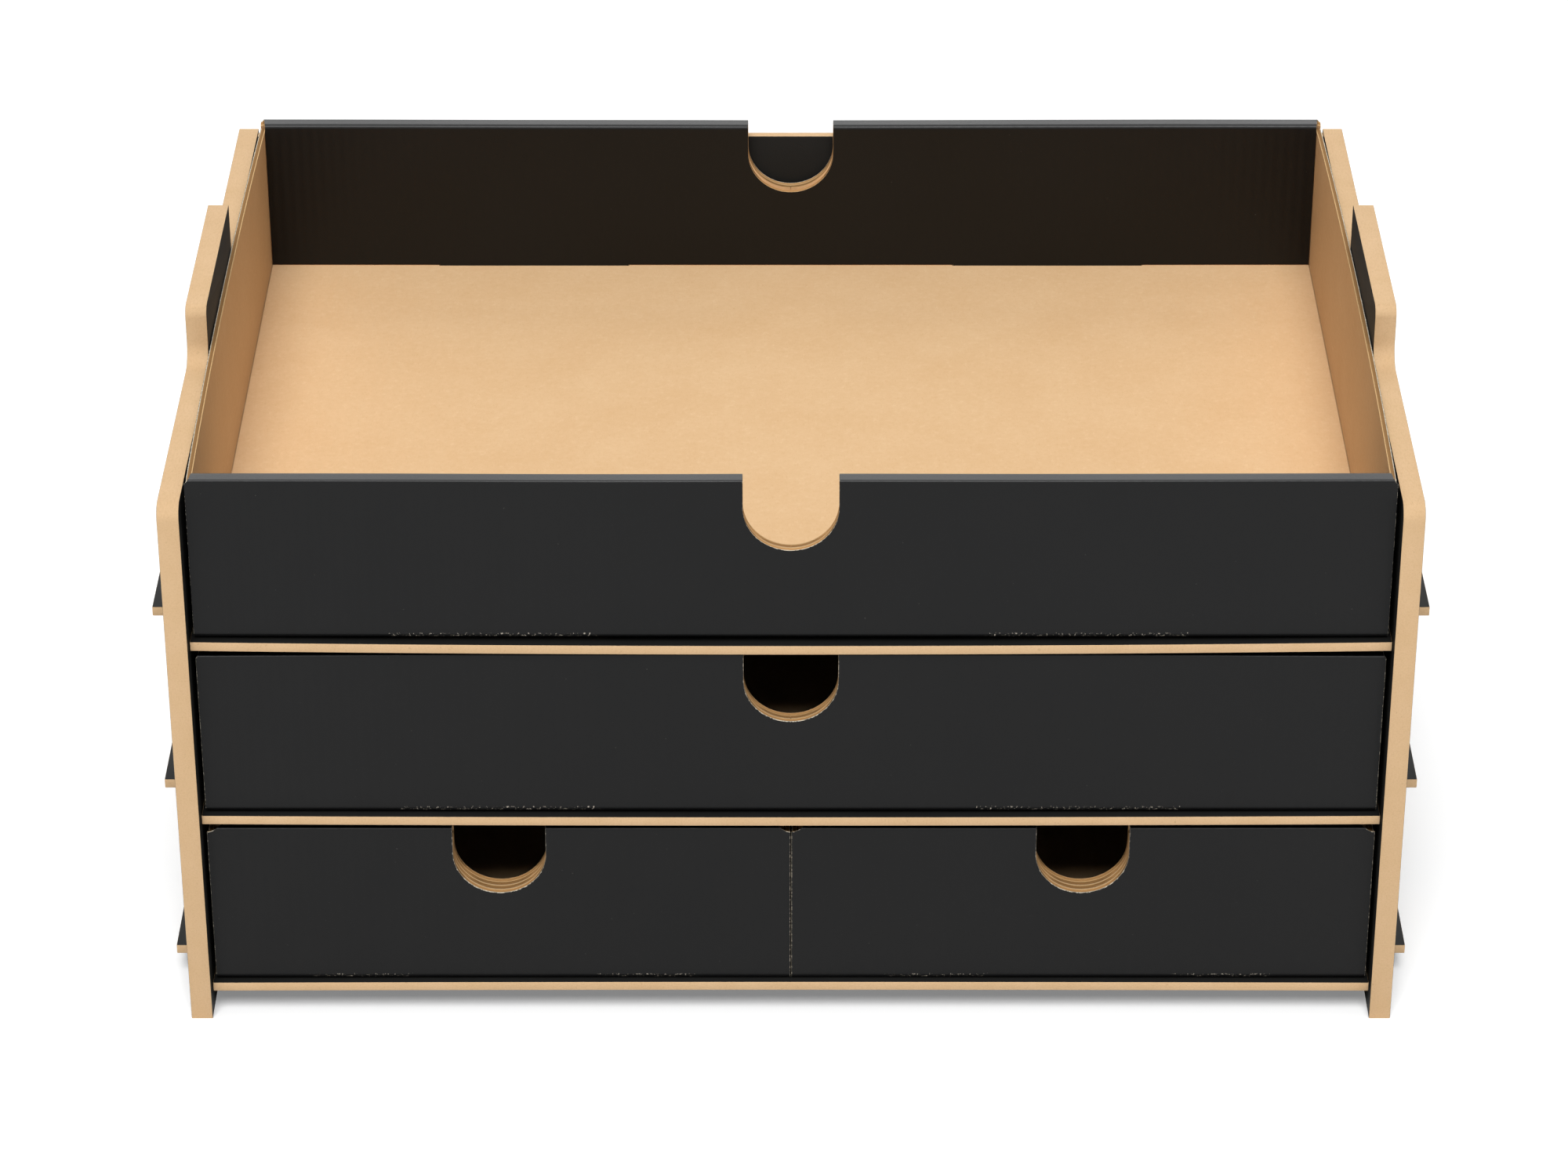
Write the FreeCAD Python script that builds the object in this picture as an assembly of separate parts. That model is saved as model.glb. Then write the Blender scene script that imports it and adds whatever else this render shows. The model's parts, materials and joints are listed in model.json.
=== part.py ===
import FreeCAD, Part
import math
import os

# A letter tray stack that plugs together from flat boards. Two side panels carry three shelves and
# a back panel by tabs in slots. An open tray, a full-width drawer and two half-width drawers, each
# folded from one blank of fine corrugated board, slide on the shelves.
# Millimetres. +Z is up, the front faces -Y, and the origin is on the floor at the footprint's middle.

# Case
case_width = 340.0  # over the outer faces of the side panels
case_depth = 240.0
panel_thickness = 6.0
panel_height = 166.0  # to the level top edge, where the next stack stands
panel_corner_radius = 4.5

# Ear on each side panel's top edge, and the recess in the bottom edge that takes the ear below
ear_height = 16.5
ear_start = 85.0  # from the panel's front edge to the foot of the ear's rise
ear_lean = 0.4  # how far the rise leans back
ear_foot_radius = 6.0
ear_crest_radius = 3.3
ear_length = 66.4  # along the ear's level top, from the rise to its upright end
ear_clearance = 0.6

# Shelves
shelf_thickness = 2.8
shelf_setback = 3.0  # behind the side panels' front edges
shelf_pitch = 56.1
shelf_count = 3
foot_height = 7.4  # floor to the underside of the bottom shelf
side_tab_length = 45.0
side_tab_setback = 22.0  # from the side panels' front and rear edges
side_tab_reach = 6.0  # past the side panels' outer faces
rear_tab_length = 45.0
rear_tab_spacing = 190.0  # between the middles of a shelf's two rear tabs
slot_clearance = 0.1

# Back panel
back_thickness = 2.8
back_setback = 1.7  # ahead of the side panels' rear edges
back_drop = 0.5  # below the side panels' top edges
back_foot_height = 3.0  # floor to the back panel's lower edge
back_tab_length = 28.0
back_tab_reach = 2.0  # past the side panels' outer faces

# Folded board
ply = 1.5
fold_radius = 1.5  # of the folds round the floor, on the outside
rim_fold_radius = 0.6  # a rim's folds are creased sharp
cut_gap = 0.2  # between cut edges and the faces beside them

# Drawers
drawer_setback = 4.5  # behind the side panels' front edges
drawer_rear_gap = 1.0  # to the back panel
drawer_side_gap = 1.4  # to each side panel
seat_gap = 0.3  # between a drawer and the shelf that carries it
tray_height = 49.2
tray_bow = 0.9  # how far the open tray's side walls lean out at the middle of their top edges
middle_head_gap = 2.5  # above the middle drawer's rims
small_head_gap = 2.2
small_drawer_gap = 0.6  # between the two small drawers
side_wall_drop = 2.5  # below the rims of the front and back walls
wide_rim_end_reach = 1.6  # the scoop out of each end of a rim, along the rim
wide_rim_end_drop = 1.2
small_rim_end_reach = 4.5
small_rim_end_drop = 1.9
wide_flap_gap = 0.2  # on each face of a flap inside its wall
flap_meeting_gap = 0.4  # between the ends of a wide drawer's flaps, at the middle of its front or back
small_flap_length = 100.0
small_flap_gap = 0.5
notch_width = 26.0
notch_depth = 21.5
lock_tab_shares = (0.31, 0.67)  # inner and outer ends of a locking tab, as shares of half the width

overrun = 1.0  # how far a cutting tool passes the face that it leaves

panel_inner_x = case_width / 2 - panel_thickness
case_front_y = -case_depth / 2
back_front_y = case_depth / 2 - back_setback - back_thickness
drawer_front_y = case_front_y + drawer_setback
drawer_length = back_front_y - drawer_rear_gap - drawer_front_y
wide_drawer_width = 2 * (panel_inner_x - drawer_side_gap)
small_drawer_width = (wide_drawer_width - small_drawer_gap) / 2
bay_height = shelf_pitch - shelf_thickness
middle_drawer_height = bay_height - seat_gap - middle_head_gap
small_drawer_height = bay_height - seat_gap - small_head_gap


def vector(x, y, z):
    return FreeCAD.Vector(x, y, z)


def block(x, y, z):
    """A box from three (low, high) pairs."""
    size = [high - low for low, high in (x, y, z)]
    return Part.makeBox(*size, vector(x[0], y[0], z[0]))


def rounded_outline(corners, x):
    """A closed wire in the plane at x. Each corner is (y, z) or (y, z, radius)."""
    edges = []
    ends = []
    for i, corner in enumerate(corners):
        here = vector(x, corner[0], corner[1])
        before = vector(x, *corners[i - 1][:2])
        after = vector(x, *corners[(i + 1) % len(corners)][:2])
        radius = corner[2] if len(corner) > 2 else 0
        if not radius:
            ends.append((here, here))
            continue
        back = (before - here).normalize()
        on = (after - here).normalize()
        half_angle = back.getAngle(on) / 2
        room = min((before - here).Length, (after - here).Length) / 2
        setback = min(radius / math.tan(half_angle), room)
        fitted = setback * math.tan(half_angle)
        towards = (back + on).normalize()
        middle = here + towards * (fitted / math.sin(half_angle) - fitted)
        start = here + back * setback
        finish = here + on * setback
        edges.append(Part.Arc(start, middle, finish).toShape())
        ends.append((start, finish))
    for i, (start, _) in enumerate(ends):
        previous = ends[i - 1][1]
        if (start - previous).Length > Part.Precision.confusion():
            edges.append(Part.LineSegment(previous, start).toShape())
    return Part.Wire(Part.__sortEdges__(edges))


def extruded(outline, length):
    return Part.Face(outline).extrude(vector(length, 0, 0))


def mirrored(shape):
    return shape.mirror(vector(0, 0, 0), vector(1, 0, 0))


def shelf_under(level):
    """Height of the underside of shelf 0, 1 or 2, counted from the bottom."""
    return foot_height + level * shelf_pitch


def side_tab_spans():
    """Where the front and rear side tabs of a shelf run along Y."""
    front = case_front_y + side_tab_setback
    rear = -front
    return [(front, front + side_tab_length), (rear - side_tab_length, rear)]


def back_tab_spans():
    """Where the back panel's side tabs run along Z: halfway between each two shelves."""
    spans = []
    for level in range(shelf_count - 1):
        middle = shelf_under(level) + (shelf_pitch + shelf_thickness) / 2
        spans.append((middle - back_tab_length / 2, middle + back_tab_length / 2))
    return spans


def rear_tab_spans():
    """Where a shelf's rear tabs run along X."""
    return [
        (side * rear_tab_spacing / 2 - rear_tab_length / 2, side * rear_tab_spacing / 2 + rear_tab_length / 2)
        for side in (-1, 1)
    ]


def widened(span, clearance):
    return (span[0] - clearance, span[1] + clearance)


def ear_profile(base, grown):
    """The ear's rise, level top and upright end above the height base, grown for a clearance."""
    foot = case_front_y + ear_start - grown
    top = base + ear_height + grown
    crest = foot + ear_lean
    end = case_front_y + ear_start + ear_lean + ear_length + grown
    return [(foot, base, ear_foot_radius), (crest, top, ear_crest_radius), (end, top), (end, base)]


def side_panel():
    """The right side panel, cut from one board."""
    corners = [(case_front_y, 0), (case_front_y, panel_height, panel_corner_radius)]
    corners += ear_profile(panel_height, 0)
    corners += [(-case_front_y, panel_height), (-case_front_y, 0)]
    corners += reversed(ear_profile(0, ear_clearance))
    panel = extruded(rounded_outline(corners, panel_inner_x), panel_thickness)
    through = (panel_inner_x - overrun, case_width / 2 + overrun)
    for level in range(shelf_count):
        under = shelf_under(level)
        height = widened((under, under + shelf_thickness), slot_clearance)
        for span in side_tab_spans():
            panel = panel.cut(block(through, widened(span, slot_clearance), height))
    depth = widened((back_front_y, back_front_y + back_thickness), slot_clearance)
    for span in back_tab_spans():
        panel = panel.cut(block(through, depth, widened(span, slot_clearance)))
    return panel


def shelf(level):
    """A shelf with two tabs on each side and two at the rear."""
    height = (shelf_under(level), shelf_under(level) + shelf_thickness)
    board = block((-panel_inner_x, panel_inner_x), (case_front_y + shelf_setback, back_front_y), height)
    reach = case_width / 2 + side_tab_reach
    tabs = [block((-reach, reach), span, height) for span in side_tab_spans()]
    tabs += [block(span, (back_front_y - overrun, -case_front_y), height) for span in rear_tab_spans()]
    return board.fuse(tabs).removeSplitter()


def back_panel():
    """The back panel between the side panels, with slots for the shelves' rear tabs."""
    depth = (back_front_y, back_front_y + back_thickness)
    height = (back_foot_height, panel_height - back_drop)
    board = block((-panel_inner_x, panel_inner_x), depth, height)
    reach = case_width / 2 + back_tab_reach
    board = board.fuse([block((-reach, reach), depth, span) for span in back_tab_spans()])
    for level in range(shelf_count):
        slot_height = widened((shelf_under(level), shelf_under(level) + shelf_thickness), slot_clearance)
        for span in rear_tab_spans():
            slot = block(widened(span, slot_clearance), widened(depth, overrun), slot_height)
            board = board.cut(slot)
    return board.removeSplitter()


def wall_thickness(flap_layers, flap_gap):
    """A rolled-over wall: outer ply, the flaps with a gap on each face, and inner ply."""
    return 2 * ply + flap_layers * ply + (flap_layers + 1) * flap_gap


def folded_strip(width, height, wall):
    """Front wall, floor and back wall as one board: it folds up, over each rim and down inside."""
    inner_end = ply + cut_gap
    half = [
        (wall - ply, inner_end),
        (wall, inner_end),
        (wall, height, rim_fold_radius),
        (0, height, rim_fold_radius),
        (0, 0, fold_radius),
    ]
    lining = [(ply, ply), (ply, height - ply), (wall - ply, height - ply)]
    back_half = [(drawer_length - corner[0], *corner[1:]) for corner in reversed(half)]
    back_lining = [(drawer_length - y, z) for y, z in reversed(lining)]
    return extruded(rounded_outline(half + back_half + back_lining + lining, -width / 2), width)


def side_wall(width, height, bow, start):
    """The right side wall. Its top edge bows outwards, and start is where its front fold begins."""
    outer = width / 2
    inner = outer - ply
    finish = drawer_length - start
    middle = drawer_length / 2
    foot = [vector(outer, start, 0), vector(outer, finish, 0), vector(inner, finish, 0), vector(inner, start, 0)]
    top = [point + vector(0, 0, height) for point in foot]
    foot_wire = Part.makePolygon(foot + foot[:1])
    outer_edge = Part.Arc(top[0], vector(outer + bow, middle, height), top[1]).toShape()
    rear_edge = Part.LineSegment(top[1], top[2]).toShape()
    inner_edge = Part.Arc(top[2], vector(inner + bow, middle, height), top[3]).toShape()
    front_edge = Part.LineSegment(top[3], top[0]).toShape()
    return Part.makeLoft([foot_wire, Part.Wire([outer_edge, rear_edge, inner_edge, front_edge])], True, True)


def straight_side_wall(width, height, start):
    outer = width / 2
    return block((outer - ply, outer), (start, drawer_length - start), (0, height))


def flaps(width, height, flap_length, start):
    """The right side wall's two flaps, folded inwards between the plies of the front and back walls."""
    span = (width / 2 - flap_length, width / 2)
    upright = (ply + cut_gap, height - ply - cut_gap)
    finish = drawer_length - start
    return [block(span, (start, start + ply), upright), block(span, (finish - ply, finish), upright)]


def lock_tab_spans(width):
    """Where the right-hand locking tab of a wall runs along X."""
    return tuple(share * width / 2 for share in lock_tab_shares)


def rim_relief(width, height, wall, rim_end):
    """What is cut from the right end of the front wall: a scoop from the rim, and room for the side wall."""
    reach, drop = rim_end
    corner = vector(width / 2, -overrun, height)
    scoop = Part.Ellipse(corner + vector(reach, 0, 0), corner + vector(0, 0, drop), corner)
    scoop = Part.Face(Part.Wire(scoop.toShape())).extrude(vector(0, wall + 2 * overrun, 0))
    inner_end = width / 2 - ply - cut_gap
    room = block((inner_end, width / 2 + overrun), (ply, wall + overrun), (ply, height + overrun))
    return scoop.fuse(room)


def finger_notch(height):
    """A round-bottomed notch through the front and back walls."""
    radius = notch_width / 2
    round_z = height - notch_depth + radius
    along = (-overrun, drawer_length + overrun)
    bottom = Part.makeCylinder(radius, along[1] - along[0], vector(0, along[0], round_z), vector(0, 1, 0))
    return bottom.fuse(block((-radius, radius), along, (round_z, height + overrun)))


def drawer(width, height, bow, flap_length, flap_layers, flap_gap, rim_end):
    """A drawer folded from one blank. Its front is at y = 0 and its underside at z = 0."""
    wall = wall_thickness(flap_layers, flap_gap)
    strip = folded_strip(width, height, wall)
    relief = rim_relief(width, height, wall, rim_end)
    back_relief = relief.mirror(vector(0, drawer_length / 2, 0), vector(0, 1, 0))
    span = lock_tab_spans(width)
    slot = block(widened(span, cut_gap), (ply, wall + cut_gap), (-overrun, ply))
    tab = block(span, (wall - ply, wall), (cut_gap, 2 * ply))
    back_slot = slot.mirror(vector(0, drawer_length / 2, 0), vector(0, 1, 0))
    back_tab = tab.mirror(vector(0, drawer_length / 2, 0), vector(0, 1, 0))
    cuts = [relief, back_relief, slot, back_slot]
    strip = strip.cut(cuts + [mirrored(cut) for cut in cuts])
    folded = [tab, back_tab, mirrored(tab), mirrored(back_tab)]
    wall_height = height - side_wall_drop
    for side in range(2):
        start = ply + flap_gap + (side % flap_layers) * (ply + flap_gap)
        if bow:
            upright = side_wall(width, wall_height, bow, start)
        else:
            upright = straight_side_wall(width, wall_height, start)
        pieces = [upright] + flaps(width, wall_height, flap_length, start)
        folded += [mirrored(piece) for piece in pieces] if side else pieces
    return strip.fuse(folded).cut(finger_notch(height)).removeSplitter()


def placed(shape, centre_x, level):
    """Puts a drawer on its shelf."""
    seat = shelf_under(level) + shelf_thickness + seat_gap
    return shape.translated(vector(centre_x, drawer_front_y, seat))


def wide_drawer(height, bow):
    rim_end = (wide_rim_end_reach, wide_rim_end_drop)
    flap_length = (wide_drawer_width - flap_meeting_gap) / 2
    return drawer(wide_drawer_width, height, bow, flap_length, 1, wide_flap_gap, rim_end)


def small_drawer():
    rim_end = (small_rim_end_reach, small_rim_end_drop)
    return drawer(small_drawer_width, small_drawer_height, 0, small_flap_length, 2, small_flap_gap, rim_end)


def main():
    small_centre = (small_drawer_width + small_drawer_gap) / 2
    nodes = {
        "left_side_panel": mirrored(side_panel()),
        "right_side_panel": side_panel(),
        "bottom_shelf": shelf(0),
        "middle_shelf": shelf(1),
        "top_shelf": shelf(2),
        "back_panel": back_panel(),
        "top_tray": placed(wide_drawer(tray_height, tray_bow), 0, 2),
        "middle_drawer": placed(wide_drawer(middle_drawer_height, 0), 0, 1),
        "left_small_drawer": placed(small_drawer(), -small_centre, 0),
        "right_small_drawer": placed(small_drawer(), small_centre, 0),
    }
    os.makedirs("parts", exist_ok=True)
    for name, shape in nodes.items():
        print(name, len(shape.Solids), shape.isValid(), round(shape.Volume))
        shape.exportStep("parts/" + name + ".step")


main()
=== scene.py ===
import json
import math

import bmesh
import bpy
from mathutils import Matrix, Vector, noise

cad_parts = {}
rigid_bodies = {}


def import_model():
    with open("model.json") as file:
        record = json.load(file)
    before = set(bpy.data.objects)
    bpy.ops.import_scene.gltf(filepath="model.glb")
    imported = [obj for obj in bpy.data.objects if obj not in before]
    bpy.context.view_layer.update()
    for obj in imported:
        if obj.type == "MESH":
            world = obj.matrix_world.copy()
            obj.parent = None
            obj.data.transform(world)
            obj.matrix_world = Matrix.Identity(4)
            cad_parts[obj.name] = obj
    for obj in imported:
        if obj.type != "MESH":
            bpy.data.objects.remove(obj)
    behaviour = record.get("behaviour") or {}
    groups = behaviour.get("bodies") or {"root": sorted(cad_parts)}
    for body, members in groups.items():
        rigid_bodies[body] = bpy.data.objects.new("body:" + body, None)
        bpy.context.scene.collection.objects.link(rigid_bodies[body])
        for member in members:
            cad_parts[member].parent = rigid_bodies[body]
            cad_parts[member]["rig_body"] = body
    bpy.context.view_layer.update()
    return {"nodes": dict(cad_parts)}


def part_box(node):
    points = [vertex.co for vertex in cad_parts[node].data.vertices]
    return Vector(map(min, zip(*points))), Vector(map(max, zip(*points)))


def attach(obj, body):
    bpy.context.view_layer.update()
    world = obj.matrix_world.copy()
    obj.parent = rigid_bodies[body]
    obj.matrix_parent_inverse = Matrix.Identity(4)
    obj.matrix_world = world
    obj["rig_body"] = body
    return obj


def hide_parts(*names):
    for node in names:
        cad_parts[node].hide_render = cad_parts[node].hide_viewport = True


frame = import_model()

# A letter tray stack: two side panels, three shelves and a back panel of fibreboard, with a tray and
# three drawers folded from fine corrugated board. Metres, in the frame's own place.

mm = 0.001

# Board of the folded drawers
ply = 1.5 * mm
cut_gap = 0.2 * mm  # between cut edges and the faces beside them
fold_radius = 1.8 * mm  # round the floor, on the printed side
rim_fold_radius = 0.6 * mm
inner_rim_radius = 1.2 * mm
fold_steps = 6
fold_margin = 0.5 * mm  # the flat strip kept beside a fold, so that its shading stays flat
least_reach = 0.1 * mm  # the tightest curve inside a sharp fold
crush_width = 2.3 * mm  # how far beside a sharp fold its inner side is squeezed
bend_pitch = 9 * mm  # between the lines that let a flat ply wave and bow
burr = 0.12 * mm  # the crushed border of a cut edge
flute_pitch = 3.2 * mm
rim_scuff = 0.45  # how worn the ink is along the rims, where 1 is the wear beside the locking slots
wave_height = 0.14 * mm
wave_length = 70 * mm
wave_foot = 8 * mm  # below this height the waves fade, so that a drawer lies flat
wave_seed = 5  # without a seed the waves would differ from run to run

# Shape of the folded drawers
side_wall_drop = 2.5 * mm  # from the rims down to the side walls' top edges
notch_radius = 13 * mm
notch_depth = 21.5 * mm  # below the rim
notch_steps = 32
scoop_steps = 8
swell_share = 0.46  # of the gap beside a layer, filled where a notch is cut through the layers
lock_tab_shares = (0.31, 0.67)  # a locking tab's ends, as shares of half the drawer's width
flap_meeting_gap = 0.1 * mm  # between the ends of a wide drawer's flaps, in the middle of its front
front_swell = 0.12 * mm  # how far a small drawer's cut edges spread past its size on each side

# A wall's flaps, their length or None where they meet in the middle, the scoop out of a rim's ends, and
# how much lower a notch is cut in the inner ply than in the outer one
WIDE = {"flap_layers": 1, "flap_gap": 0.2 * mm, "flap_length": None}
TRAY = {**WIDE, "rim_end": (1.3 * mm, 1.0 * mm), "inner_drop": 0.8 * mm}
MIDDLE = {**WIDE, "rim_end": (0.7 * mm, 0.7 * mm), "inner_drop": 0.15 * mm}
SMALL = {
    "flap_layers": 2,
    "flap_gap": 0.5 * mm,
    "flap_length": 100 * mm,
    "rim_end": (4.0 * mm, 1.3 * mm),
    "inner_drop": 0.1 * mm,
}

# Fibreboard
board_bevel = 0.2 * mm
shelf_end_gap = 0.3 * mm  # between a shelf and the side panels' inner faces
shelf_steps = 16  # strips between the side panels, which let a shelf sag
shelf_sags = {"bottom_shelf": -0.3 * mm, "middle_shelf": 0.5 * mm, "top_shelf": 1.2 * mm}

# Meshes
weld = 0.001 * mm  # vertices closer than this are one
crease_weld = 0.002 * mm  # the same where a blank is cut along its creases
facing = 0.9  # a face looks along an axis when its normal's share of that axis is at least this
flat_angle = math.radians(0.5)  # faces that meet more flatly than this are one
corner_angle = math.radians(40)  # edges sharper than this are eased
board_shading_angle = math.radians(50)  # edges sharper than this show as edges
fold_shading_angle = math.radians(35)
LACQUERED, SAWN = range(2)  # a board's finishes
PRINTED, BROWN, CUT = range(3)  # a blank's finishes

# Studio. A lamp's name, its turn and tilt in degrees, its strength, and how wide it looks, in degrees
LAMPS = (("key", -4, 33, 2.6, 32), ("back", 0, -56, 0.85, 45), ("top", 0, 0, 0.45, 60))
shade_level = 0.1  # the world's light on surfaces, where 1 is the white that camera and gloss see
floor_glow = 0.22
floor_reach = 6.0
camera_place = (-0.7 * mm, -1305 * mm, 827.4 * mm)
camera_tilt = math.radians(60)
lens_length = 116.5  # in mm, on Blender's sensor of 36 mm
lens_shift = -0.0028


def paint(red, green, blue):
    """A colour given as it looks on a screen, 0 to 255, as the linear colour that shaders take."""
    shares = [level / 255 for level in (red, green, blue)]
    linear = [((c + 0.055) / 1.055) ** 2.4 if c > 0.04 else c / 12.92 for c in shares]
    return (*linear, 1.0)


def grey(level):
    return (level, level, level, 1.0)


# Materials

class Value:
    """A number, colour or vector that varies over a surface. Arithmetic on it adds Math nodes."""

    def __init__(self, nodes, socket):
        self.nodes = nodes
        self.socket = socket

    def math(self, operation, *values):
        return self.nodes.node("ShaderNodeMath", {"operation": operation}, *values)

    def __add__(self, other):
        return self.math("ADD", self, other)

    __radd__ = __add__

    def __sub__(self, other):
        return self.math("SUBTRACT", self, other)

    def __rsub__(self, other):
        return self.math("SUBTRACT", other, self)

    def __mul__(self, other):
        return self.math("MULTIPLY", self, other)

    __rmul__ = __mul__

    def __abs__(self):
        return self.math("ABSOLUTE", self)

    def sine(self):
        return self.math("SINE", self)

    def above(self, level, softness):
        """0 below the level and 1 above it, with a soft step."""
        settings = {"interpolation_type": "SMOOTHSTEP"}
        ends = (level - softness, level + softness)
        return self.nodes.node("ShaderNodeMapRange", settings, self, *ends, 0.0, 1.0)


class Nodes:
    """The nodes of a material or of the world."""

    def __init__(self, tree):
        self.tree = tree

    def node(self, kind, settings, *values, output=0, **named):
        """Adds a node. Its sockets in use take values in order, or by name. One output comes back."""
        made = self.tree.nodes.new(kind)
        for setting, value in settings.items():
            setattr(made, setting, value)
        sockets = [socket for socket in made.inputs if socket.enabled]
        for socket, value in zip(sockets, values):
            self.connect(socket, value)
        for name, value in named.items():
            self.connect(made.inputs[name], value)
        by_name = isinstance(output, str)
        outputs = made.outputs if by_name else [socket for socket in made.outputs if socket.enabled]
        return Value(self, outputs[output])

    def connect(self, socket, value):
        if isinstance(value, Value):
            self.tree.links.new(value.socket, socket)
        else:
            socket.default_value = value


class Finish(Nodes):
    """A material round one Principled shader."""

    def __init__(self, name, **constants):
        self.material = bpy.data.materials.new(name)
        self.material.use_nodes = True
        super().__init__(self.material.node_tree)
        self.set(**constants)

    def set(self, **sockets):
        shader = self.tree.nodes["Principled BSDF"]
        for name, value in sockets.items():
            self.connect(shader.inputs[name.replace("_", " ")], value)

    def place(self):
        return self.node("ShaderNodeTexCoord", {}, output="Object")

    def blank(self):
        """The place on the flat blank, from the UV map that the fold leaves unchanged."""
        return self.node("ShaderNodeUVMap", {"uv_map": "blank"})

    def attribute(self, name):
        return self.node("ShaderNodeAttribute", {"attribute_name": name}, output="Fac")

    def along(self, vector, axis):
        return self.node("ShaderNodeSeparateXYZ", {}, vector, output=axis)

    def scaled(self, vector, *factors):
        return self.node("ShaderNodeVectorMath", {"operation": "MULTIPLY"}, vector, factors)

    def grain(self, vector, size, detail=3.0, roughness=0.55):
        """Noise whose features are about size metres."""
        return self.node("ShaderNodeTexNoise", {}, Vector=vector, Scale=1 / size, Detail=detail,
                         Roughness=roughness)

    def mixed(self, share, low, high):
        return self.node("ShaderNodeMix", {"data_type": "RGBA"}, share, low, high)

    def relief(self, height, distance):
        return self.node("ShaderNodeBump", {}, Height=height, Distance=distance)

    def flute_wave(self):
        """The corrugation's wave across the blank, from -1 to 1. The flutes run from front to back."""
        return (self.along(self.blank(), "X") * (2 * math.pi / flute_pitch)).sine()


def black_face():
    """The fibreboard's black lacquered face: even and matt, with a fine tooth."""
    finish = Finish("black_lacquer", Specular_IOR_Level=0.22)
    place = finish.place()
    cloud = finish.grain(place, 30 * mm, 2.0)
    tooth = finish.grain(place, 0.5 * mm, 2.0)
    finish.set(
        Base_Color=finish.mixed(cloud, paint(13, 13, 12), paint(20, 20, 19)),
        Roughness=0.5 + 0.12 * cloud,
        Normal=finish.relief(tooth, 0.03 * mm),
    )
    return finish.material


def raw_edge():
    """The fibreboard's sawn edge: tan, softly clouded, with short fibres and a few darker bits."""
    finish = Finish("raw_fibreboard_edge", Specular_IOR_Level=0.3)
    place = finish.place()
    cloud = finish.grain(place, 12 * mm, 3.0)
    fibre = finish.grain(finish.scaled(place, 1.0, 0.35, 1.0), 0.5 * mm, 4.0, 0.7)
    speck = finish.grain(place, 1.1 * mm, 2.0, 0.6).above(0.7, 0.04)
    tan = finish.mixed(cloud, paint(213, 177, 132), paint(227, 192, 151))
    worn = finish.mixed(fibre.above(0.6, 0.2) * 0.35, tan, paint(190, 152, 108))
    finish.set(
        Base_Color=finish.mixed(speck * 0.2, worn, paint(160, 120, 78)),
        Roughness=0.68 + 0.2 * fibre,
        Normal=finish.relief(fibre, 0.08 * mm),
    )
    return finish.material


def black_print():
    """The blank's printed side. Its ink is scuffed where the board is folded, and pale fibres show."""
    finish = Finish("black_printed_liner", Specular_IOR_Level=0.27)
    place = finish.place()
    cloud = finish.grain(place, 60 * mm, 2.0)
    patch = finish.grain(place, 16 * mm, 3.0)
    tooth = finish.grain(place, 0.7 * mm, 3.0, 0.6)
    scuff = finish.attribute("scuff")
    fibre = finish.grain(finish.scaled(finish.blank(), 1.0, 0.6, 1.0), 0.7 * mm, 4.0, 0.75)
    bare = (fibre + scuff * 0.22).above(0.83, 0.05)
    dust = finish.grain(place, 0.9 * mm, 1.0).above(0.83, 0.02)
    ink = finish.mixed(cloud * 0.6 + patch * 0.4, paint(5, 6, 7), paint(13, 13, 13))
    worn = finish.mixed(bare * scuff, ink, paint(206, 196, 180))
    finish.set(
        Base_Color=finish.mixed(dust * 0.25, worn, paint(120, 118, 112)),
        Roughness=0.3 + 0.16 * cloud + 0.06 * tooth,
        Normal=finish.relief(tooth * 0.6 + finish.flute_wave() * 0.3, 0.05 * mm),
    )
    return finish.material


def kraft_liner():
    """The blank's unprinted brown side: mottled, with fine fibres, and with painted shade in the floor's
    creases.
    """
    finish = Finish("brown_kraft_liner", Specular_IOR_Level=0.08)
    place = finish.place()
    cloud = finish.grain(place, 25 * mm, 4.0, 0.6)
    mottle = finish.grain(place, 1.6 * mm, 3.0, 0.65)
    fibre = finish.grain(finish.scaled(finish.blank(), 1.0, 0.25, 1.0), 0.45 * mm, 3.0, 0.7)
    brown = finish.mixed(cloud * 0.5 + mottle * 0.5, paint(216, 174, 126), paint(235, 201, 159))
    flecked = finish.mixed(fibre.above(0.64, 0.1) * 0.22, brown, paint(196, 146, 90))
    pale = finish.mixed(mottle.above(0.66, 0.06) * 0.15, flecked, paint(242, 212, 170))
    finish.set(
        # Painted shade: the brown side darkens to a deep brown inside the folds round the floor
        Base_Color=finish.mixed(finish.attribute("fold") * 0.55, pale, paint(122, 80, 42)),
        Roughness=0.72 + 0.2 * mottle,
        Normal=finish.relief(fibre * 0.5 + finish.flute_wave() * 0.25, 0.05 * mm),
    )
    return finish.material


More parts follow.
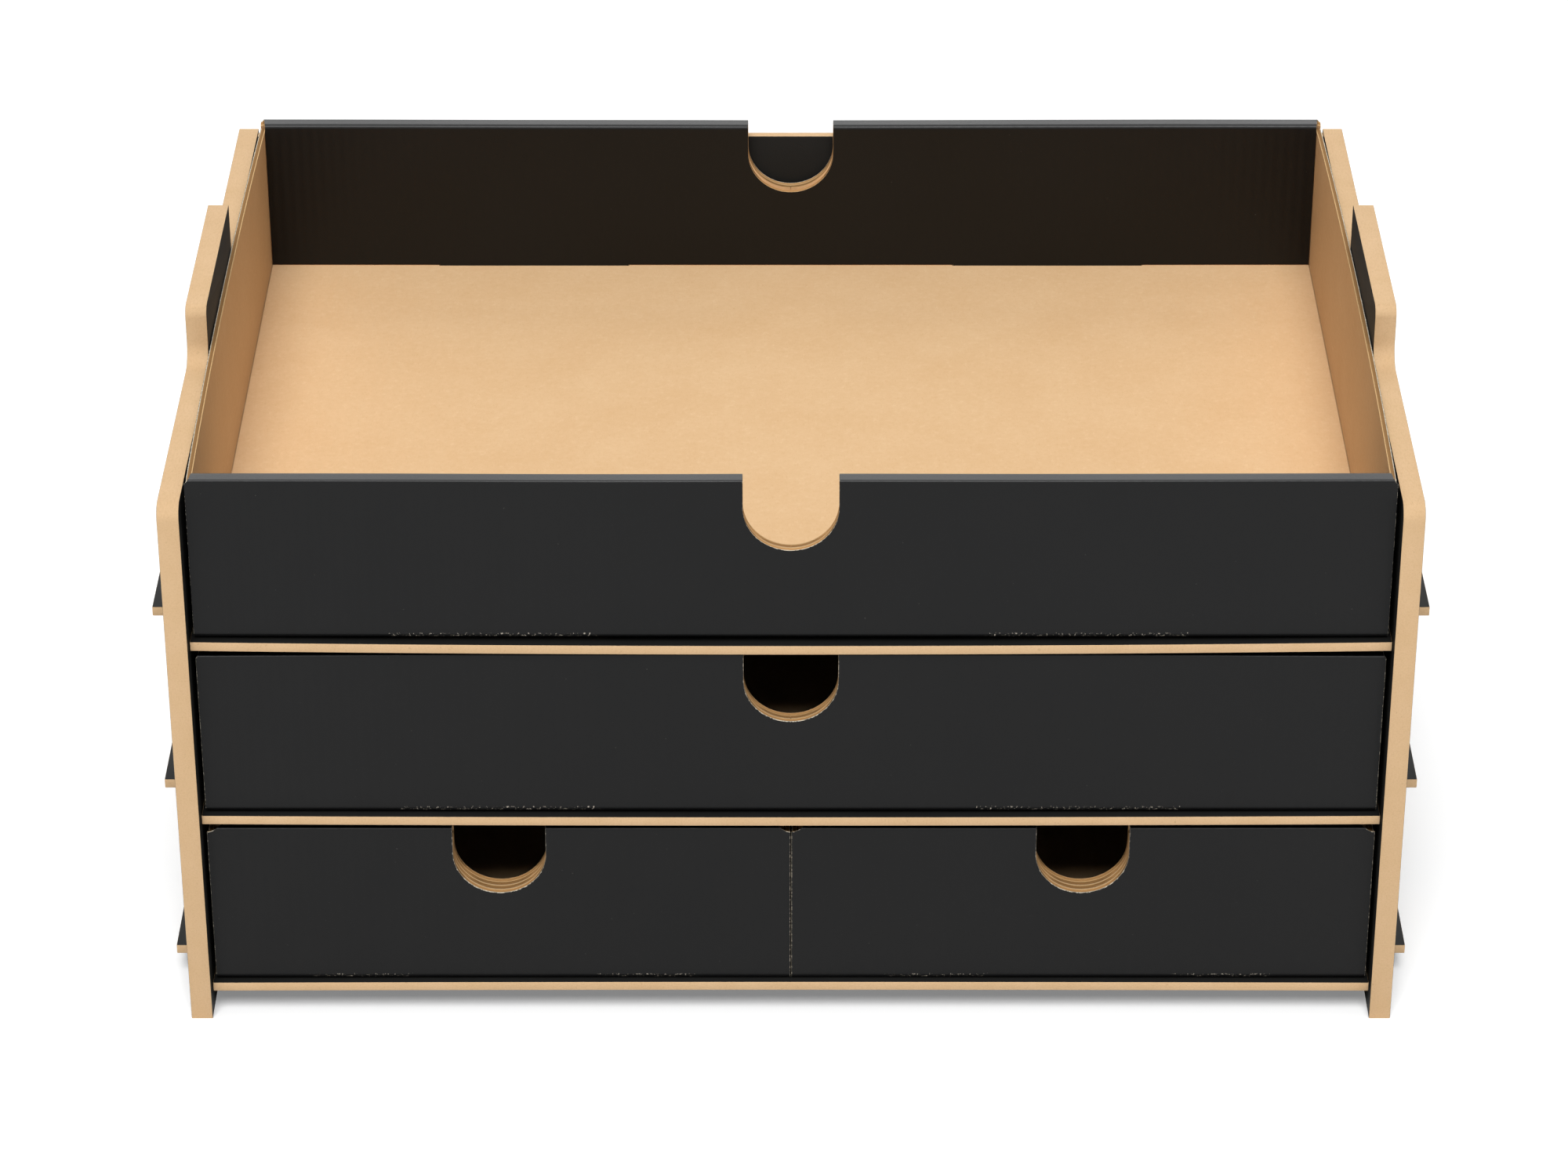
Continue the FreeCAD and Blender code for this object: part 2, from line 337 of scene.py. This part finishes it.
def fluted_edge():
    """The board's cut edge: a white liner under the print, a brown one, and the flutes between them,
    with painted shade in the flute channels.
    Along its printed border the ink is broken by bits of bare fibre."""
    finish = Finish("fluted_cut_edge", Specular_IOR_Level=0.2)
    place = finish.place()
    ragged = finish.grain(place, 0.6 * mm, 3.0)
    fray = finish.grain(place, 0.3 * mm, 2.0)
    true_depth = finish.attribute("depth")
    across = finish.attribute("groove")  # 1 where the cut runs along the flutes and opens one
    lining = finish.attribute("lining")
    depth = true_depth + (ragged - 0.5) * 0.14
    groove = across.above(0.8, 0.1)
    wave = abs(depth - 0.5 - 0.25 * finish.flute_wave())
    medium = (1 - wave.above(0.12, 0.08)) * (0.45 - groove * 0.3)
    # Painted shade in the flute channels, darker where a cut along the flutes opens one
    painted_flute_shade = finish.mixed(groove, paint(184, 138, 86), paint(140, 104, 62))
    core = finish.mixed(medium, painted_flute_shade, paint(206, 160, 106))
    liner = abs(depth - 0.5).above(0.32, 0.05)
    brown_liner = finish.mixed(fray, paint(196, 158, 108), paint(224, 188, 138))
    white_liner = finish.mixed(fray, paint(190, 178, 154), paint(236, 228, 210))
    brown_side = 1 - (1 - depth.above(0.5, 0.05)) * (1 - lining * 0.8)
    liners = finish.mixed(brown_side, white_liner, brown_liner)
    board_edge = finish.mixed(liner * (1 - lining * 0.4), core, liners)
    border = 1 - true_depth.above(0.07, 0.03)
    inked = border * (ragged + across * 0.1).above(0.53, 0.04) * (1 - lining * 0.85)
    finish.set(
        Base_Color=finish.mixed(inked, board_edge, paint(34, 33, 32)),
        Roughness=0.8 + 0.1 * fray,
        Normal=finish.relief(fray * 0.5 + liner * 0.5, 0.12 * mm),
    )
    return finish.material


def floor_sheet():
    """The white floor. To the camera it glows a little, so that it is white beyond the shadow."""
    finish = Finish("studio_floor", Roughness=0.9, Specular_IOR_Level=0.1, Emission_Strength=1.0)
    cloud = finish.grain(finish.place(), 0.6, 2.0)
    seen = finish.node("ShaderNodeLightPath", {}, output="Is Camera Ray")
    finish.set(
        Base_Color=finish.mixed(cloud, grey(0.93), grey(0.95)),
        Emission_Color=finish.mixed(seen, grey(0.0), grey(floor_glow)),
    )
    return finish.material


# Fibreboard case

def board(node, axis, finishes, sag=None):
    """A flat board on a CAD node's mesh, with its sharp edges eased. Its faces across the axis are
    lacquered. A shelf also sags in its middle, and its ends stop short of the side panels."""
    bm = bmesh.new()
    bm.from_mesh(frame["nodes"][node].data)
    bmesh.ops.remove_doubles(bm, verts=bm.verts, dist=weld)
    bmesh.ops.dissolve_limit(bm, angle_limit=flat_angle, verts=bm.verts, edges=bm.edges)
    sharp = [e for e in bm.edges
             if e.is_manifold and e.is_convex and e.calc_face_angle(0) > corner_angle]
    bmesh.ops.bevel(bm, geom=sharp, offset=board_bevel, offset_type="OFFSET", segments=2, profile=0.5,
                    affect="EDGES", material=-1, clamp_overlap=True)
    for face in bm.faces:
        face.material_index = LACQUERED if abs(face.normal[axis]) > facing else SAWN
        face.smooth = True
    for edge in bm.edges:
        edge.smooth = edge.is_manifold and edge.calc_face_angle(0) < board_shading_angle
    if sag is not None:
        settle_shelf(bm, sag)
    return finished(bm, node + "_board", finishes, frame["nodes"][node]["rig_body"], node)


def settle_shelf(bm, sag):
    """Lets a shelf sag between the side panels and draws the ends between its tabs away from them."""
    panel_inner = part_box("right_side_panel")[0].x
    for step in range(1, shelf_steps):
        cut_across(bm, 0, round(-panel_inner + 2 * panel_inner * step / shelf_steps, 6), weld)
    end_zone = 1.5 * board_bevel
    for vert in bm.verts:
        if panel_inner - end_zone < abs(vert.co.x) < panel_inner + end_zone:
            vert.co.x -= math.copysign(shelf_end_gap, vert.co.x)
        vert.co.z -= sag * max(0.0, 1 - (vert.co.x / panel_inner) ** 2)


def cut_across(bm, axis, place, distance):
    """Cuts every face along a plane across an axis, and keeps both sides."""
    across = Vector((axis == 0, axis == 1, axis == 2))
    bmesh.ops.bisect_plane(bm, geom=bm.verts[:] + bm.edges[:] + bm.faces[:], dist=distance,
                           plane_co=across * place, plane_no=across)


def finished(bm, name, finishes, body, node):
    """Makes a bmesh an object that rides on a body and stands for a CAD node."""
    mesh = bpy.data.meshes.new(name)
    bm.to_mesh(mesh)
    bm.free()
    for finish in finishes:
        mesh.materials.append(finish)
    piece = bpy.data.objects.new(name, mesh)
    bpy.context.scene.collection.objects.link(piece)
    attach(piece, body)
    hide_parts(node)
    return piece


# Folded drawers

class FoldLine:
    """A line that turns left by a right angle at each fold. Lengths along it are the blank's lengths."""

    def __init__(self, lengths, radii):
        self.radii = radii
        shortened = [0.0, *radii, 0.0]
        self.runs = [length - shortened[i] - shortened[i + 1] for i, length in enumerate(lengths)]

    def fold_start(self, fold):
        return sum(self.runs[:fold + 1]) + sum(self.radii[:fold]) * math.pi / 2

    def fold_end(self, fold):
        return self.fold_start(fold) + self.radii[fold] * math.pi / 2

    def total(self):
        return sum(self.runs) + sum(self.radii) * math.pi / 2

    def creases(self):
        """Lengths at which the blank is cut so that each fold bends smoothly."""
        places = []
        for fold, radius in enumerate(self.radii):
            start, end = self.fold_start(fold), self.fold_end(fold)
            places += [start + (end - start) * step / fold_steps for step in range(fold_steps + 1)]
            for beside in (fold_margin, crush_width - radius):
                places += [start - beside, end + beside]
        return places

    def squeezed(self, distance, radius, depth):
        """The distance from a fold's outer corner, pushed away where a sharp fold leaves no room."""
        inset = depth + max(radius - depth, least_reach)
        if distance >= crush_width or inset <= radius:
            return distance
        return inset + (distance - radius) * (crush_width - inset) / (crush_width - radius)

    def at(self, length, depth):
        """The point at a length along the line and a depth into the board, on its left."""
        corner = Vector((0.0, 0.0))
        turn = 0.0
        behind = 0.0
        for i, run in enumerate(self.runs):
            ahead = Vector((math.cos(turn), math.sin(turn)))
            left = Vector((-ahead.y, ahead.x))
            last = i == len(self.runs) - 1
            radius = 0.0 if last else self.radii[i]
            whole = behind + run + radius
            if length <= run or last:
                along = behind + length
                if i:
                    along = self.squeezed(along, behind, depth)
                if not last:
                    along = whole - self.squeezed(whole - along, radius, depth)
                break
            length -= run
            corner += ahead * whole
            if length < radius * math.pi / 2:
                angle = length / radius
                reach = max(radius - depth, least_reach)
                centre = corner + (left - ahead) * (depth + reach)
                return centre + (ahead * math.sin(angle) - left * math.cos(angle)) * reach
            length -= radius * math.pi / 2
            behind = radius
            turn += math.pi / 2
        return corner + ahead * along + left * depth


def curve(centre, reach, start, finish, steps):
    """Points on an ellipse's arc, from one angle to another in degrees."""
    angles = [math.radians(start + (finish - start) * step / steps) for step in range(steps + 1)]
    return [(centre[0] + reach[0] * math.cos(a), centre[1] + reach[1] * math.sin(a)) for a in angles]


class Blank:
    """A drawer's flat blank and how it folds. x runs across the drawer and s from front to back,
    both measured on the printed side, and the blank's middle is the floor's middle."""

    def __init__(self, width, length, height, flap_layers, flap_gap, flap_length, rim_end, inner_drop):
        self.width, self.length, self.height = width, length, height
        self.wall = 2 * ply + flap_layers * ply + (flap_layers + 1) * flap_gap
        self.rim_end, self.inner_drop, self.flap_gap = rim_end, inner_drop, flap_gap
        self.tab_inner, self.tab_outer = (share * width / 2 for share in lock_tab_shares)
        flap_length = flap_length or (width - flap_meeting_gap) / 2
        self.starts = [ply + flap_gap + (side % flap_layers) * (ply + flap_gap) for side in range(2)]
        strip_lengths = [length / 2, height, self.wall, height - ply - cut_gap]
        self.strip = FoldLine(strip_lengths, [fold_radius, rim_fold_radius, inner_rim_radius])
        self.side = FoldLine([width / 2, height - side_wall_drop], [fold_radius])
        self.flaps = [FoldLine([length / 2 - start, flap_length], [fold_radius])
                      for start in self.starts]

    def on_side(self, z):
        """The blank's x for a height on the side wall."""
        return self.side.fold_end(0) + z - fold_radius

    def on_outer_ply(self, z):
        return self.strip.fold_end(0) + z - fold_radius

    def on_inner_ply(self, z):
        return self.strip.fold_end(2) + self.height - inner_rim_radius - z

    def notch_on_flap(self, flap):
        """The s of the notch's middle, where it is cut from a flap."""
        return flap.fold_end(0) + self.width / 2 - fold_radius

    def flap_span(self):
        """The lowest and highest x of a flap."""
        return self.on_side(ply + cut_gap), self.on_side(self.height - side_wall_drop - ply - cut_gap)

    def quarter(self, side):
        """The outline from the middle of a side wall's top edge to the middle of the strip's end."""
        flap = self.flaps[side]
        bend, flap_end = flap.fold_start(0), flap.total()
        wall_end = self.length / 2 - self.starts[side]
        low, high = self.flap_span()
        foot, top = self.side.fold_start(0), self.side.total()
        points = [(top, 0), (top, wall_end)]
        points += [(high + cut_gap, wall_end), (high + cut_gap, bend), (high, bend)]
        middle = self.notch_on_flap(flap)
        centre = (self.on_side(self.height - notch_depth + notch_radius), middle)
        reach = (notch_radius, notch_radius)
        points += [(high, middle - notch_radius)]
        if flap_end > middle + notch_radius:
            points += curve(centre, reach, 270, 90, notch_steps)
            points += [(high, middle + notch_radius), (high, flap_end)]
        else:
            end_angle = 180 + math.degrees(math.asin((middle - flap_end) / notch_radius))
            points += curve(centre, reach, 270, end_angle, notch_steps // 2)
        points += [(low, flap_end), (low, bend), (low - cut_gap, bend), (low - cut_gap, wall_end)]
        points += [(foot, wall_end), (foot, wall_end + cut_gap), (self.width / 2, wall_end + cut_gap)]
        scoop_reach, scoop_drop = self.rim_end
        scoop_start = self.on_outer_ply(self.height - scoop_drop)
        rim_middle = (self.strip.fold_start(1) + self.strip.fold_end(2)) / 2
        scoop = (scoop_reach, rim_middle - scoop_start)
        points += curve((self.width / 2, rim_middle), scoop, 270, 180, scoop_steps)
        inner_side, strip_end = self.width / 2 - ply - cut_gap, self.strip.total()
        points += [(inner_side, self.strip.fold_end(2)), (inner_side, strip_end)]
        points += [(self.tab_outer, strip_end), (self.tab_outer, strip_end + ply)]
        points += [(self.tab_inner, strip_end + ply), (self.tab_inner, strip_end)]
        return points + [(0, strip_end)]

    def outline(self):
        right, left = self.quarter(0), self.quarter(1)
        loop = right + [(-x, s) for x, s in reversed(left[:-1])]
        return loop + [(-x, -s) for x, s in left[1:-1]] + [(x, -s) for x, s in reversed(right[1:])]

    def holes(self):
        """The notch across each rim and the floor's slots for the locking tabs."""
        reach = (notch_radius, notch_radius)
        outer = self.on_outer_ply(self.height - notch_depth) + notch_radius
        inner = self.on_inner_ply(self.height - notch_depth - self.inner_drop) - notch_radius
        notch = curve((0, outer), reach, 180, 360, notch_steps)
        notch += curve((0, inner), reach, 0, 180, notch_steps)
        low, high = self.tab_inner - cut_gap, self.tab_outer + cut_gap
        near, far = self.length / 2 - self.wall - cut_gap, self.strip.fold_start(0) - cut_gap
        slot = [(low, near), (high, near), (high, far), (low, far)]
        rear = [notch, slot, [(-x, s) for x, s in slot]]
        return rear + [[(x, -s) for x, s in hole] for hole in rear]

    def folded(self, x, s, depth):
        """Where a point of the flat board lies once the blank is folded, from the floor's middle."""
        right, rear = math.copysign(1, x), math.copysign(1, s)
        side = 0 if x > 0 else 1
        half_gap = cut_gap / 2
        wall_end = self.length / 2 - self.starts[side] + half_gap
        on_wall = abs(x) > self.side.fold_start(0) and abs(s) < wall_end
        if not on_wall and abs(x) <= self.width / 2 + half_gap:
            y, z = self.strip.at(abs(s), depth)
            return Vector((x, rear * y, z))
        out, z = self.side.at(abs(x), depth)
        low, high = self.flap_span()
        flap = self.flaps[side]
        if low - half_gap < abs(x) < high + half_gap and abs(s) >= flap.fold_start(0):
            y, inwards = flap.at(abs(s), depth)
            return Vector((right * (self.width / 2 - inwards), rear * y, z))
        return Vector((right * out, s, z))

    def spread(self, x, s, depth):
        """A point's depth. Where a notch is cut, the board's layers swell into the gaps beside them."""
        reach = notch_radius + 2 * cut_gap
        swell = self.flap_gap * swell_share
        strip = self.strip
        if abs(x) < reach:
            low = self.on_outer_ply(self.height - notch_depth) - reach
            high = self.on_inner_ply(self.height - notch_depth) + reach
            rim_start, rim_end = strip.fold_start(1) - crush_width, strip.fold_end(2) + crush_width
            if low < abs(s) < rim_start or rim_end < abs(s) < high:
                return depth + swell * depth / ply
        middle = self.notch_on_flap(self.flaps[0 if x > 0 else 1])
        bottom = self.on_side(self.height - notch_depth)
        if abs(x) > bottom - 2 * cut_gap and abs(abs(s) - middle) < reach:
            return depth + swell * (2 * depth / ply - 1)
        return depth

    def scuffed(self, x, s):
        """How far the ink is worn: most beside the locking slots, and some along the rims."""
        strip = self.strip
        at_foot = strip.fold_start(0) - cut_gap < s < strip.fold_end(0) + cut_gap
        if at_foot and self.tab_inner < x < self.tab_outer:
            return 1.0
        on_rim = strip.fold_start(1) - fold_margin / 2 < s < strip.fold_end(2) + fold_margin / 2
        return rim_scuff if on_rim and x < self.width / 2 else 0.0

    def is_lining(self, x, s):
        """1 on the flaps and on the inner plies of the front and back walls, and 0 elsewhere."""
        low, high = self.flap_span()
        on_flap = low - cut_gap < x < high + cut_gap and s > self.flaps[0].fold_start(0) - cut_gap
        on_inner_ply = x < self.width / 2 and s > self.strip.fold_start(2)
        return 1.0 if on_flap or on_inner_ply else 0.0

    def floor_fold(self, x, s):
        """1 inside the folds round the floor, where the brown side creases and is darkened by painted
        shade, and 0 elsewhere.
        """
        side_fold = self.side.fold_start(0) < x < self.side.fold_end(0)
        wall_fold = self.strip.fold_start(0) < s < self.strip.fold_end(0)
        return 1.0 if side_fold or wall_fold else 0.0

    def creases(self):
        """The x and s of the lines that the flat board is cut along before it folds."""
        xs = {*self.side.creases(), *self.flap_span()}
        ss = set(self.strip.creases()).union(*(flap.creases() for flap in self.flaps))
        xs |= {bend_pitch * i for i in range(1, int(self.side.total() / bend_pitch))}
        ss |= {bend_pitch * i for i in range(1, int(self.strip.total() / bend_pitch))}
        return sorted(xs), sorted(ss)


def flat_board(blank):
    """The die-cut board lying flat: printed side at z = 0, brown side at z = ply."""
    bm = bmesh.new()
    for loop in [blank.outline()] + blank.holes():
        verts = [bm.verts.new((x, s, 0)) for x, s in loop]
        for i, vert in enumerate(verts):
            bm.edges.new((verts[i - 1], vert))
    bmesh.ops.triangle_fill(bm, edges=bm.edges, use_beauty=True, use_dissolve=False, normal=(0, 0, -1))
    bmesh.ops.dissolve_limit(bm, angle_limit=flat_angle, verts=bm.verts, edges=bm.edges)
    bmesh.ops.triangulate(bm, faces=bm.faces)
    bm.normal_update()
    bmesh.ops.reverse_faces(bm, faces=[face for face in bm.faces if face.normal.z < 0])
    raised = bmesh.ops.extrude_face_region(bm, geom=bm.faces[:], use_keep_orig=True)["geom"]
    lifted = [item for item in raised if isinstance(item, bmesh.types.BMVert)]
    bmesh.ops.translate(bm, vec=(0, 0, ply), verts=lifted)
    bmesh.ops.recalc_face_normals(bm, faces=bm.faces)
    bm.normal_update()
    for face in bm.faces:
        up = face.normal.z
        face.material_index = PRINTED if up < -facing else BROWN if up > facing else CUT
    rims = [e for e in bm.edges if e.is_manifold and e.calc_face_angle(0) > corner_angle
            and any(face.material_index != CUT for face in e.link_faces)]
    bmesh.ops.bevel(bm, geom=rims, offset=burr, offset_type="OFFSET", segments=1, profile=0.5,
                    affect="EDGES", material=CUT, clamp_overlap=True)
    return bm


def folded_drawer(name, node, body, finishes, width, proportions, bow=0.0, sag=0.0, shift=0.0):
    """A tray or drawer, folded from its blank into the place of its CAD node."""
    low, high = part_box(node)
    blank = Blank(width, high.y - low.y, high.z - low.z, **proportions)
    bm = flat_board(blank)
    for axis, places in enumerate(blank.creases()):
        for place in places:
            for sign in (-1, 1):
                cut_across(bm, axis, place * sign, crease_weld)
    # The fold layer marks where painted shade darkens the floor's creases
    names = ("depth", "scuff", "fold", "groove", "lining")
    layers = {layer: bm.verts.layers.float.new(layer) for layer in names}
    edge_layer = bm.verts.layers.int.new("edge")
    uv_layer = bm.loops.layers.uv.new("blank")
    bm.normal_update()
    for vert in bm.verts:
        cut_faces = [face for face in vert.link_faces if face.material_index == CUT]
        vert[layers["groove"]] = max((abs(face.normal.x) for face in cut_faces), default=0.0)
        vert[edge_layer] = len(cut_faces) > 0
    for face in bm.faces:
        face.smooth = True
        for loop in face.loops:
            loop[uv_layer].uv = loop.vert.co.xy
    for vert in bm.verts:
        x, s, depth = vert.co
        vert[layers["depth"]] = depth / ply
        vert[layers["scuff"]] = blank.scuffed(abs(x), abs(s))
        # Where painted shade darkens the brown side in the floor's creases
        vert[layers["fold"]] = blank.floor_fold(abs(x), abs(s))
        vert[layers["lining"]] = blank.is_lining(abs(x), abs(s))
        if vert[edge_layer]:
            depth = blank.spread(x, s, depth)
        vert.co = settled(blank, blank.folded(x, s, depth), bow, sag, shift)
    centre = Vector(((low.x + high.x) / 2, (low.y + high.y) / 2, low.z))
    bmesh.ops.translate(bm, vec=centre, verts=bm.verts)
    bm.normal_update()
    for edge in bm.edges:
        edge.smooth = edge.is_manifold and edge.calc_face_angle(0) < fold_shading_angle
    return finished(bm, name, finishes, body, node)


def settled(blank, point, bow, sag, shift):
    """Bows, sags and waves a folded point as handled board does. The shift gives each drawer
    waves of its own."""
    x, y, z = point
    height = z / blank.height
    into_wall = blank.length / 2 - abs(y)
    if abs(x) > blank.width / 2 - 2 * ply and into_wall > blank.wall:
        x += math.copysign(bow * height * (1 - (2 * y / blank.length) ** 2), x)
    waves = noise.noise_vector(Vector((x, y, z)) / wave_length + Vector((shift, shift, shift)))
    fade = min(1.0, z / wave_foot)
    y += waves.y * wave_height * fade
    z += (waves.z * wave_height - sag * max(0.0, 1 - (2 * x / blank.width) ** 2)) * fade
    return Vector((x, y, z))


# Studio

def studio():
    """The white floor, three soft lamps, the white world and the camera."""
    bm = bmesh.new()
    bmesh.ops.create_grid(bm, x_segments=8, y_segments=8, size=floor_reach)
    floor = bpy.data.meshes.new("floor")
    bm.to_mesh(floor)
    bm.free()
    floor.materials.append(floor_sheet())
    placed(floor)

    for name, turn, tilt, strength, spread in LAMPS:
        lamp = bpy.data.lights.new(name, "SUN")
        lamp.energy = strength
        lamp.angle = math.radians(spread)
        placed(lamp).rotation_euler = (math.radians(tilt), 0, math.radians(turn))

    world = bpy.data.worlds.new("studio")
    world.use_nodes = True
    bpy.context.scene.world = world
    sky = Nodes(world.node_tree)
    seen = sky.node("ShaderNodeLightPath", {}, output="Is Camera Ray")
    mirrored = sky.node("ShaderNodeLightPath", {}, output="Is Glossy Ray")
    white = seen.math("MAXIMUM", seen, mirrored)
    background = world.node_tree.nodes["Background"]
    sky.connect(background.inputs["Color"], grey(1.0))
    sky.connect(background.inputs["Strength"], shade_level + (1 - shade_level) * white)

    lens = bpy.data.cameras.new("camera")
    lens.lens = lens_length
    lens.shift_x = lens_shift
    camera = placed(lens)
    camera.location = camera_place
    camera.rotation_euler = (camera_tilt, 0, 0)
    bpy.context.scene.camera = camera
    bpy.context.scene.view_settings.view_transform = "Standard"


def placed(data):
    """Gives the floor's mesh, a lamp or the camera an object in the scene, under its own name."""
    thing = bpy.data.objects.new(data.name, data)
    bpy.context.scene.collection.objects.link(thing)
    return thing


studio()

board_finishes = [black_face(), raw_edge()]
board("left_side_panel", 0, board_finishes)
board("right_side_panel", 0, board_finishes)
board("back_panel", 1, board_finishes)
for shelf, shelf_sag in shelf_sags.items():
    board(shelf, 2, board_finishes, shelf_sag)

noise.seed_set(wave_seed)
folded_finishes = [black_print(), kraft_liner(), fluted_edge()]
middle_low, middle_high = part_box("middle_drawer")
wide = middle_high.x - middle_low.x
small_low, small_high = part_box("left_small_drawer")
small = small_high.x - small_low.x + 2 * front_swell
folded_drawer("folded_top_tray", "top_tray", "tray", folded_finishes, wide, TRAY,
              bow=1.3 * mm, sag=0.2 * mm, shift=1.0)
folded_drawer("folded_middle_drawer", "middle_drawer", "wide_drawer", folded_finishes, wide, MIDDLE,
              bow=0.5 * mm, sag=-0.5 * mm, shift=2.0)
folded_drawer("folded_left_drawer", "left_small_drawer", "left_drawer", folded_finishes, small, SMALL,
              shift=3.0)
folded_drawer("folded_right_drawer", "right_small_drawer", "right_drawer", folded_finishes, small, SMALL,
              shift=4.0)
